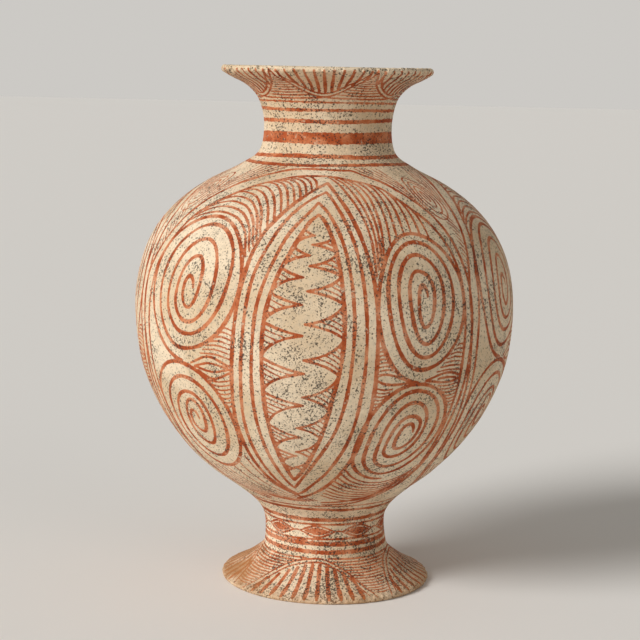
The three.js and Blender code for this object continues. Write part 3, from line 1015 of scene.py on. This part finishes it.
def paint_mouth(painting):
    """Scallops of rays under the flare of the mouth, with hatching between them."""
    pitch = 360 / SCALLOPS
    inner = [(turn * SCALLOP_SHARE, climb + SCALLOP_GAP) for turn, climb in SCALLOP_EDGE[1:-1]]
    upright = [(turn, SCALLOP_FLIP - climb) for turn, climb in SCALLOP_EDGE]
    for index in range(SCALLOPS):
        painting.spread = turned_by(SCALLOP_TURN + index * pitch)
        painting.curve(SCALLOP_EDGE, FINE)
        painting.curve(inner, FINE)
        for turn in SCALLOP_RAYS:
            base = (SCALLOP_RAY_ROOT_SHARE, SCALLOP_RAY_BASE + SCALLOP_RAY_RISE * turn**2)
            painting.ray(turn, (base, *SCALLOP_RAY_PLACES), SCALLOP_RAY, SCALLOP_RAY_TAPER)
        for line in range(SCALLOP_HATCHES):
            climb = SCALLOP_HATCH_CLIMB + SCALLOP_HATCH_PITCH * line
            level = SCALLOP_FLIP - climb - SCALLOP_HATCH_GAP
            start = edge_turn(upright, level, True) + HATCH_CLEARANCE
            middle = (pitch / 2, climb - SCALLOP_HATCH_SAG)
            painting.curve(((start, climb), middle, (pitch - start, climb)), FINE)


def paint_jar(outline):
    painting = Painting(outline)
    for spread in panel_spreads():
        painting.spread = spread
        paint_panel(painting)
    paint_base(painting)
    paint_foot(painting)
    paint_mouth(painting)
    for climb, width, wave, turn in BANDS:
        painting.band(climb, width, wave, turn)
    return painting


# Materials

GLOSS = 0.3
SLIP_ROUGHNESS = 0.82
BUMP_STRENGTH = 0.6
BUMP_DEPTH = 0.35
FLOOR_ROUGHNESS = 0.9
# How much of the colour below a black speck hides
SPECK_COVER = 0.85
# Heights between which the inner face changes from bare clay to slip, in metres
INNER_SLIP = (0.34, 0.365)
# How deep below zero the paint layer tells a hidden face from a skin without paint
HIDDEN_LEVELS = (-3.4, -2.6)
# Where the specks thicken towards the ground, and where the left of the foot wears, in metres
LOW_SPECKS = (0.065, 0.02)
WORN_SIDE = (-0.034, -0.058)


def shade(red, green, blue):
    """A colour as it looks on screen, from 0 to 255, as the shader's linear numbers."""
    shares = np.array([red, green, blue]) / 255
    linear = np.where(shares <= 0.04045, shares / 12.92, ((shares + 0.055) / 1.055) ** 2.4)
    return tuple(float(value) for value in linear)


class Clay:
    """The nodes of one clay material, written as short steps."""

    def __init__(self, name, roughness):
        self.material = bpy.data.materials.new(name)
        self.material.use_nodes = True
        self.tree = self.material.node_tree
        self.shader = self.tree.nodes["Principled BSDF"]
        self.shader.inputs["Roughness"].default_value = roughness
        self.shader.inputs["Specular IOR Level"].default_value = GLOSS
        self.place = self.node("TexCoord", {})["Object"]
        axes = self.node("SeparateXYZ", {"Vector": self.place})
        self.side = axes["X"]
        self.height = axes["Z"]
        self.patch = self.noise(14, 4)
        self.grain = self.noise(3.2, 3)
        self.dust = self.noise(1.1, 2)

    def plug(self, socket, value):
        if hasattr(value, "is_output"):
            self.tree.links.new(value, socket)
        elif hasattr(value, "__len__"):
            socket.default_value = (*value, 1)
        else:
            socket.default_value = value

    def node(self, kind, sockets, **options):
        """Make a node with its sockets plugged and its options set, and give its outputs."""
        node = self.tree.nodes.new("ShaderNode" + kind)
        for name, value in options.items():
            setattr(node, name, value)
        for socket, value in sockets.items():
            self.plug(node.inputs[socket], value)
        return node.outputs

    def noise(self, grain, detail, roughness=0.55):
        """Cloudy noise from 0 to 1, with a grain in millimetres."""
        sockets = {"Vector": self.place, "Scale": 1 / (grain * MM)}
        return self.node("TexNoise", {**sockets, "Detail": detail, "Roughness": roughness})["Fac"]

    def spots(self, pitch):
        """Distance from the middle of the nearest spot, in shares of the pitch (mm)."""
        return self.node("TexVoronoi", {"Vector": self.place, "Scale": 1 / (pitch * MM)})["Distance"]

    def layer(self, name):
        return self.node("Attribute", {}, attribute_name=name)["Fac"]

    def combine(self, operation, first, second):
        return self.node("Math", {0: first, 1: second}, operation=operation)[0]

    def add(self, first, second):
        return self.combine("ADD", first, second)

    def less(self, first, second):
        return self.combine("SUBTRACT", first, second)

    def times(self, first, second):
        return self.combine("MULTIPLY", first, second)

    def most(self, first, second):
        return self.combine("MAXIMUM", first, second)

    def ramp(self, value, low, high, start=0.0, end=1.0):
        """A smooth change from start to end while a value goes from low to high."""
        sockets = {"Value": value, "From Min": low, "From Max": high, "To Min": start, "To Max": end}
        return self.node("MapRange", sockets, interpolation_type="SMOOTHSTEP")["Result"]

    def mix(self, share, first, second):
        return self.node("Mix", {0: share, 6: first, 7: second}, data_type="RGBA")[2]

    def bump(self, height, depth):
        sockets = {"Strength": BUMP_STRENGTH, "Distance": depth * MM, "Height": height}
        self.plug(self.shader.inputs["Normal"], self.node("Bump", sockets)["Normal"])


def slip_colour(clay, colours):
    """Cream and buff slip in clouds, with stains and a grey bloom."""
    cloud = clay.noise(60, 4)
    slip = clay.mix(clay.ramp(cloud, 0.35, 0.65), colours.cream, colours.buff)
    slip = clay.mix(clay.ramp(clay.patch, 0.55, 0.75, 0, 0.45), slip, colours.stain)
    return clay.mix(clay.ramp(clay.grain, 0.45, 0.7, 0, 0.35), slip, colours.ash)


def brushed_paint(clay, colours, slip):
    """Paint over the slip where the paint layer says so: ragged, thin in patches and flaked."""
    ragged = clay.add(clay.grain, clay.times(clay.dust, 0.5))
    reach = clay.add(clay.layer("paint"), clay.less(ragged, 0.75))
    brushed = clay.ramp(reach, -0.3, 0.15)
    thin = clay.ramp(clay.patch, 0.3, 0.62, 0.72, 1.0)
    flaked = clay.ramp(clay.grain, 0.6, 0.72, 1.0, 0.35)
    cover = clay.times(clay.times(brushed, thin), flaked)
    paint = clay.mix(clay.ramp(clay.patch, 0.35, 0.68), colours.paint, colours.dark_paint)
    return clay.mix(cover, slip, paint)


def black_specks(clay):
    """Specks, pepper and dots in clusters, which thicken towards the ground."""
    clusters = clay.ramp(clay.noise(20, 4, 0.7), 0.4, 0.66, 0.0, 0.11)
    clusters = clay.add(clusters, clay.ramp(clay.height, *LOW_SPECKS, 0, 0.03))
    black = clay.ramp(clay.add(clay.noise(1.45, 2, 0.6), clusters), 0.632, 0.69)
    pepper = clay.add(clay.noise(0.8, 1, 0.5), clusters)
    black = clay.most(black, clay.ramp(pepper, 0.7, 0.76, 0, 0.85))
    dots = clay.less(clay.ramp(clay.noise(12, 3), 0.4, 0.7, 0.1, 0.34), clay.spots(2.4))
    return clay.most(black, clay.ramp(dots, -0.04, 0.06, 0, 0.9))


def worn_clay(clay, colours, colour, wear_height, wear_share, worn_side):
    """Clay that shows near the ground, at the left of the foot and on the bare inner faces."""
    low = clay.ramp(clay.height, wear_height * MM, 0.0, 0, wear_share)
    low = clay.most(low, clay.ramp(clay.side, *WORN_SIDE, 0, worn_side))
    worn = clay.times(low, clay.ramp(clay.patch, 0.3, 0.6, 0.4, 1))
    colour = clay.mix(worn, colour, colours.clay)
    hidden = clay.ramp(clay.layer("paint"), *HIDDEN_LEVELS, 1, 0)
    bare = clay.times(hidden, clay.ramp(clay.height, *INNER_SLIP, 1, 0))
    return clay.mix(bare, colour, colours.clay)


def slip_material(name, colours, wear_height, wear_share, worn_side):
    """Pale slip with brushed orange-red lines, black specks, stains and worn places."""
    clay = Clay(name, SLIP_ROUGHNESS)
    colour = brushed_paint(clay, colours, slip_colour(clay, colours))
    black = black_specks(clay)
    colour = clay.mix(clay.times(black, SPECK_COVER), colour, colours.speck)
    colour = worn_clay(clay, colours, colour, wear_height, wear_share, worn_side)
    clay.plug(clay.shader.inputs["Base Color"], colour)

    rough = clay.less(clay.times(clay.grain, 0.6), clay.times(black, 0.5))
    clay.bump(clay.add(rough, clay.times(clay.dust, 0.4)), BUMP_DEPTH)
    return clay.material


def stage_material(colour):
    material = bpy.data.materials.new("stage_paper")
    material.use_nodes = True
    shader = material.node_tree.nodes["Principled BSDF"]
    shader.inputs["Base Color"].default_value = (*colour, 1)
    shader.inputs["Roughness"].default_value = FLOOR_ROUGHNESS
    return material


# What a user can change

def length_property(name, description, length):
    return FloatProperty(name=name, description=description, default=length, unit="LENGTH")


class JarShape(PropertyGroup):
    """Diameters of the jar's outline and the fineness of its skin."""

    foot_diameter: length_property("Foot", "Across the foot", across("foot_flare"))
    stem_diameter: length_property("Stem", "Across the stem", STEM_DIAMETER)
    body_diameter: length_property("Body", "Across the body", across("upper_belly_wall"))
    neck_diameter: length_property("Neck", "Across the neck", NECK_DIAMETER)
    rim_diameter: length_property("Mouth", "Across the mouth", across("rim_lip"))
    row_step: length_property("Row", "Height of a row of the skin", 0.0008)
    fineness: IntProperty(
        name="Steps round the body", description="Columns of the belly's skin", default=1000)


def colour_property(name, description, colour):
    return FloatVectorProperty(
        name=name, description=description, default=colour, subtype="COLOR", min=0, max=1)


class JarColours(PropertyGroup):
    """Colours of the slip, the paint and the clay."""

    cream: colour_property("Cream slip", "The palest slip", shade(233, 212, 182))
    buff: colour_property("Buff slip", "Slip with some clay in it", shade(212, 186, 151))
    stain: colour_property("Stain", "Old stains in the slip", shade(178, 154, 124))
    ash: colour_property("Ash", "Grey bloom on the slip", shade(176, 165, 146))
    paint: colour_property("Paint", "Iron paint, brushed thin", shade(195, 97, 38))
    dark_paint: colour_property("Thick paint", "Iron paint, brushed thick", shade(158, 69, 29))
    speck: colour_property("Specks", "Black mineral specks", shade(44, 38, 32))
    clay: colour_property("Clay", "Bare fired clay", shade(173, 120, 70))


class StageSettings(PropertyGroup):
    """The light and the floor."""

    floor: colour_property("Floor", "Colour of the floor", shade(236, 233, 228))
    key_strength: FloatProperty(
        name="Key lamp", description="Strength of the lamp on the left", default=3.0)
    fill_strength: FloatProperty(
        name="Fill lamp", description="Strength of the lamp on the right", default=0.2)
    softness: FloatProperty(
        name="Softness", description="How wide the lamps look", default=math.radians(25),
        subtype="ANGLE")
    ambient: FloatProperty(name="Ambient", description="Light from all round", default=0.33)


# The rings of clay

HIDDEN_STEP = 6.0
# The slip between the pedestal and the bowl, and how far hidden corners keep inside the skin
SLIP_LAYER = 0.3
STEM_SEAT_INSET = 0.6
COIL_TIP_INSET = 2
BOWL_EDGE_INSET = 1.5
# Where the inner face of the foot is searched for the ground: two climbs and a count
FOOT_GROUND_SEARCH = (4, 40, 400)
# The rows of the bowl's underside and floor, as shares of their widest radius
UNDERSIDE_SHARES = (0.06, 1, 8)
FLOOR_SHARES = (0.92, 0.05, 9)
# The angles of the lip's inner rounding, and where the inner face starts below it
LIP_INSIDE = (math.radians(105), math.radians(120))
LIP_INSIDE_START = 1.5
SEAMS = {
    "foot": base_height("foot_stem"),
    "coil_base": base_height("foot_luting_coil"),
    "coil_top": top_height("foot_luting_coil"),
    "bowl": base_height("lower_belly_wall"),
    "belly": base_height("upper_belly_wall"),
    "widest": base_height("lower_shoulder_wall"),
    "shoulder": base_height("upper_shoulder_wall"),
    "neck": base_height("neck_collar"),
    "flare": base_height("rim_flare"),
    "lip": base_height("rim_lip"),
}


def skin_climbs(outline, start, end, step):
    low = 0.0 if start is None else outline.climb_at(SEAMS[start])
    high = outline.length if end is None else outline.climb_at(SEAMS[end])
    rows = int(round((high - low) / step)) + 1
    return np.linspace(low, high, rows)


def inner_rows(outline, high, low):
    """Places down the inner face, from one climb to a lower one."""
    rows = max(2, int(abs(high - low) / HIDDEN_STEP) + 1)
    return np.stack(outline.inner(np.linspace(high, low, rows)), -1)


def wall_ring(name, start, end, laps, outline, painting, columns, step):
    """A ring whose ends lap the rings below and above it on slanted joints."""
    climbs = skin_climbs(outline, start, end, step)
    hidden = inner_rows(outline, climbs[-1] + laps[1], climbs[0] + laps[0])
    return clay_ring(name, outline, painting, climbs, hidden, columns)


def foot_flare(outline, painting, columns, step):
    climbs = skin_climbs(outline, None, "foot", step)
    fine = np.linspace(*FOOT_GROUND_SEARCH)
    _, height = outline.inner(fine)
    ground = float(np.interp(0, height, fine))
    hidden = inner_rows(outline, climbs[-1] + NECK_LAP, ground)
    hidden[-1, 1] = 0
    return clay_ring("pedestal_foot", outline, painting, climbs, hidden, columns)


def bowl_ball(outline):
    """Radius and centre height of the ball under the bowl, which meets the outline smoothly."""
    climb = outline.climb_at(BOWL_BOTTOM_HEIGHT)
    radius, height = outline.at(climb)
    out, up = outline.normal(climb)
    size = radius / out
    return float(size), float(height - size * up)


def under_bowl(outline, radius):
    size, centre = bowl_ball(outline)
    return centre - math.sqrt(size**2 - radius**2)


def foot_stem(outline, painting, columns, step):
    climbs = skin_climbs(outline, "foot", "coil_base", step)
    inner_radius = float(outline.inner(outline.climb_at(STEM_TOP))[0])
    outer_radius = float(outline.at(climbs[-1])[0])
    seat_radii = (outer_radius - STEM_SEAT_INSET, inner_radius)
    seat = [(r, under_bowl(outline, r) - SLIP_LAYER) for r in seat_radii]
    inside = inner_rows(outline, outline.climb_at(STEM_TOP), climbs[0] + NECK_LAP)
    return clay_ring("pedestal_stem", outline, painting, climbs, np.vstack([seat, inside]), columns)


def luting_coil(outline, painting, columns, step):
    climbs = skin_climbs(outline, "coil_base", "coil_top", step)
    tip = float(outline.at(climbs[-1])[0]) - COIL_TIP_INSET
    base, low = (float(value) for value in outline.at(climbs[0]))
    corner = base - STEM_SEAT_INSET
    hidden = [(r, under_bowl(outline, r) - SLIP_LAYER) for r in (tip, corner)] + [(corner, low)]
    return clay_ring("luting_coil", outline, painting, climbs, np.array(hidden), columns)


def base_bowl(outline, painting, columns, step):
    climbs = skin_climbs(outline, "coil_top", "bowl", step)
    size, centre = bowl_ball(outline)
    edge = float(outline.at(climbs[0])[0]) - BOWL_EDGE_INSET
    spread = np.linspace(*UNDERSIDE_SHARES) * edge
    below = np.stack([spread, [under_bowl(outline, r) for r in spread]], -1)
    side = inner_rows(outline, climbs[-1] + BODY_LAP, outline.climb_at(BOWL_BOTTOM_HEIGHT))
    inside = size - BOWL_FLOOR_WALL
    spread = np.linspace(*FLOOR_SHARES) * side[-1, 0]
    floor = np.stack([spread, centre - np.sqrt(inside**2 - spread**2)], -1)
    outline.floor_heights = (centre - size, centre - inside)
    hidden = (below, np.vstack([side, floor]))
    return clay_ring("bowl_bottom", outline, painting, climbs, hidden, columns, poles=True)


def rim_lip(outline, painting, columns, step):
    climbs = skin_climbs(outline, "lip", None, step)
    centre = (float(outline.section[-1, 0]), JAR_HEIGHT - LIP_ROUND)
    over = arc_points(centre, LIP_ROUND, *LIP_INSIDE, 2)
    end = outline.length - LIP_INSIDE_START * LIP_ROUND
    side = inner_rows(outline, end - HIDDEN_STEP, climbs[0] + LIP_LAP)
    return clay_ring("mouth_lip", outline, painting, climbs, np.vstack([over, side]), columns)


# The outline, the painting and the finishes, worked out once for all the rings
workshop = {}

# Wear of each finish: up to what height it goes, its share, and its share on the foot's left
FINISHES = {
    "painted_slip": (1, 0.0, 0.0),
    "worn_slip": (9, 0.6, 0.8),
    "bare_clay": (90, 0.25, 0.0),
}

# The narrow pieces have fewer columns and closer rows than the wide ones
NARROW_COLUMNS = 0.8
NARROW_ROWS = 0.68
BOWL_COLUMNS = 0.75
BOWL_ROWS = 0.82

# Rings of the wall: piece, node, the seams they lie between, their laps below and above, and
# their shares of the columns and of a row's height
BODY_RINGS = (
    ("lower_belly", "lower_belly_wall", "bowl", "belly", (BODY_LAP, BODY_LAP), 0.9, 0.9),
    ("upper_belly", "upper_belly_wall", "belly", "widest", (BODY_LAP, BODY_LAP), 1, 1),
    ("lower_shoulder", "lower_shoulder_wall", "widest", "shoulder", (BODY_LAP, BODY_LAP), 1, 1),
    ("upper_shoulder", "upper_shoulder_wall", "shoulder", "neck", (BODY_LAP, NECK_LAP), 0.74, 0.8),
)
MOUTH_RINGS = (
    ("neck_ring", "neck_collar", "neck", "flare", (NECK_LAP, NECK_LAP), NARROW_COLUMNS, NARROW_ROWS),
    ("mouth_flare", "rim_flare", "flare", "lip", (NECK_LAP, LIP_LAP), NARROW_COLUMNS, NARROW_ROWS),
)


def settle(piece, node, slot):
    """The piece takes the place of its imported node, rides with it and gets its finish."""
    piece.data.materials.append(workshop[slot])
    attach(piece, BODY)
    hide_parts(node)


def prepare(context):
    """Work out the outline, the painting and the finishes, if no step has done so yet."""
    if "outline" in workshop:
        return
    workshop["outline"] = Outline(context.scene.jar_shape)
    workshop["painting"] = paint_jar(workshop["outline"])
    for name, wear in FINISHES.items():
        workshop[name] = slip_material(name, context.scene.jar_colours, *wear)


def build(context, make, node, slot, column_share, row_share, *places):
    """Make one ring with its share of the columns and rows, and settle it."""
    prepare(context)
    shape = context.scene.jar_shape
    columns = int(shape.fineness * column_share)
    step = shape.row_step / MM * row_share
    piece = make(*places, workshop["outline"], workshop["painting"], columns, step)
    settle(piece, node, slot)


def build_walls(context, rings):
    for name, node, start, end, laps, columns, rows in rings:
        build(context, wall_ring, node, "painted_slip", columns, rows, name, start, end, laps)


class JAR_OT_pedestal(Operator):
    """Build the flared foot, the stem and the luting coil"""

    bl_idname = "jar.pedestal"
    bl_label = "Pedestal"

    def execute(self, context):
        fineness = (NARROW_COLUMNS, NARROW_ROWS)
        build(context, foot_flare, "foot_flare", "worn_slip", *fineness)
        build(context, foot_stem, "foot_stem", "painted_slip", *fineness)
        build(context, luting_coil, "foot_luting_coil", "bare_clay", *fineness)
        return {"FINISHED"}


class JAR_OT_body(Operator):
    """Build the bowl and the rings of the belly and the shoulder"""

    bl_idname = "jar.body"
    bl_label = "Body"

    def execute(self, context):
        build(context, base_bowl, "base_bowl", "painted_slip", BOWL_COLUMNS, BOWL_ROWS)
        build_walls(context, BODY_RINGS)
        return {"FINISHED"}


class JAR_OT_mouth(Operator):
    """Build the neck, the flare of the mouth and its lip"""

    bl_idname = "jar.mouth"
    bl_label = "Mouth"

    def execute(self, context):
        build_walls(context, MOUTH_RINGS)
        build(context, rim_lip, "rim_lip", "painted_slip", NARROW_COLUMNS, NARROW_ROWS)
        return {"FINISHED"}


# Stage

CAMERA_PLACE = Vector((0, -1.249, 0.378))
LENS = 95.2
SENSOR = 36.0
CAMERA_TILT = math.radians(8.33)
CAMERA_TURN = math.radians(0.25)
CAMERA_ROLL = math.radians(1.2)
LAMP_AIM = (0, 0, 0.2)
KEY_PLACE = (-1.6, -1.0, 1.15)
FILL_PLACE = (1.4, -1.2, 0.7)
FLOOR_SIZE = 40.0
BACKDROP_STRENGTH = 0.72


def add_camera():
    data = bpy.data.cameras.new("camera")
    data.sensor_fit = "HORIZONTAL"
    data.sensor_width = SENSOR
    data.lens = LENS
    camera = bpy.data.objects.new("camera", data)
    turn = Matrix.Rotation(CAMERA_TURN, 4, "Z")
    tilt = Matrix.Rotation(math.pi / 2 - CAMERA_TILT, 4, "X")
    roll = Matrix.Rotation(CAMERA_ROLL, 4, "Z")
    camera.matrix_world = Matrix.Translation(CAMERA_PLACE) @ turn @ tilt @ roll
    bpy.context.scene.collection.objects.link(camera)
    bpy.context.scene.camera = camera


def add_lamp(name, place, softness, strength):
    """A distant soft lamp, which lights the jar and the floor evenly."""
    data = bpy.data.lights.new(name, "SUN")
    data.angle = softness
    data.energy = strength
    lamp = bpy.data.objects.new(name, data)
    lamp.location = place
    aim = Vector(LAMP_AIM) - Vector(place)
    lamp.rotation_euler = aim.to_track_quat("-Z", "Y").to_euler()
    bpy.context.scene.collection.objects.link(lamp)


def add_floor(colour):
    half = FLOOR_SIZE / 2
    corners = [(-half, -half, 0), (half, -half, 0), (half, half, 0), (-half, half, 0)]
    mesh = bpy.data.meshes.new("floor")
    mesh.from_pydata(corners, [], [(0, 1, 2, 3)])
    mesh.materials.append(stage_material(colour))
    floor = bpy.data.objects.new("floor", mesh)
    bpy.context.scene.collection.objects.link(floor)


def set_world(strength, colour):
    """The backdrop that is seen, and reflected, is brighter than the light that it gives."""
    world = bpy.data.worlds.new("studio")
    world.use_nodes = True
    nodes = world.node_tree.nodes
    links = world.node_tree.links
    nodes.remove(nodes["Background"])
    choice = nodes.new("ShaderNodeMixShader")
    for place, level in ((1, strength), (2, BACKDROP_STRENGTH)):
        background = nodes.new("ShaderNodeBackground")
        background.inputs["Color"].default_value = (*colour, 1)
        background.inputs["Strength"].default_value = level
        links.new(background.outputs["Background"], choice.inputs[place])
    rays = nodes.new("ShaderNodeLightPath")
    seen = rays.outputs["Is Camera Ray"]
    for kind in ("Is Glossy Ray", "Is Transmission Ray"):
        either = nodes.new("ShaderNodeMath")
        either.operation = "MAXIMUM"
        links.new(seen, either.inputs[0])
        links.new(rays.outputs[kind], either.inputs[1])
        seen = either.outputs["Value"]
    links.new(seen, choice.inputs["Fac"])
    links.new(choice.outputs["Shader"], nodes["World Output"].inputs["Surface"])
    bpy.context.scene.world = world


class JAR_OT_stage(Operator):
    """Set up the camera, the lamps and the pale floor"""

    bl_idname = "jar.stage"
    bl_label = "Stage"

    def execute(self, context):
        settings = context.scene.jar_stage
        context.scene.view_settings.view_transform = "Standard"
        add_camera()
        add_floor(tuple(settings.floor))
        add_lamp("key_lamp", KEY_PLACE, settings.softness, settings.key_strength)
        add_lamp("fill_lamp", FILL_PLACE, settings.softness, settings.fill_strength)
        set_world(settings.ambient, tuple(settings.floor))
        return {"FINISHED"}


class JAR_PT_panel(Panel):
    """Lists the steps that build the jar"""

    bl_idname = "JAR_PT_panel"
    bl_label = "Pedestal Jar"
    bl_space_type = "VIEW_3D"
    bl_region_type = "UI"
    bl_category = "Pedestal Jar"

    def draw(self, context):
        layout = self.layout
        for step in STEPS:
            layout.operator(step.bl_idname)
        scene = context.scene
        for settings in (scene.jar_shape, scene.jar_colours, scene.jar_stage):
            for name in settings.__annotations__:
                layout.prop(settings, name)


STEPS = (JAR_OT_pedestal, JAR_OT_body, JAR_OT_mouth, JAR_OT_stage)
GROUPS = (JarShape, JarColours, StageSettings)


def register():
    for piece in GROUPS + STEPS + (JAR_PT_panel,):
        bpy.utils.register_class(piece)
    bpy.types.Scene.jar_shape = PointerProperty(type=JarShape)
    bpy.types.Scene.jar_colours = PointerProperty(type=JarColours)
    bpy.types.Scene.jar_stage = PointerProperty(type=StageSettings)


def unregister():
    del bpy.types.Scene.jar_shape
    del bpy.types.Scene.jar_colours
    del bpy.types.Scene.jar_stage
    for piece in reversed(GROUPS + STEPS + (JAR_PT_panel,)):
        bpy.utils.unregister_class(piece)


def main():
    register()
    bpy.ops.jar.pedestal()
    bpy.ops.jar.body()
    bpy.ops.jar.mouth()
    bpy.ops.jar.stage()


if __name__ == "__main__":
    main()
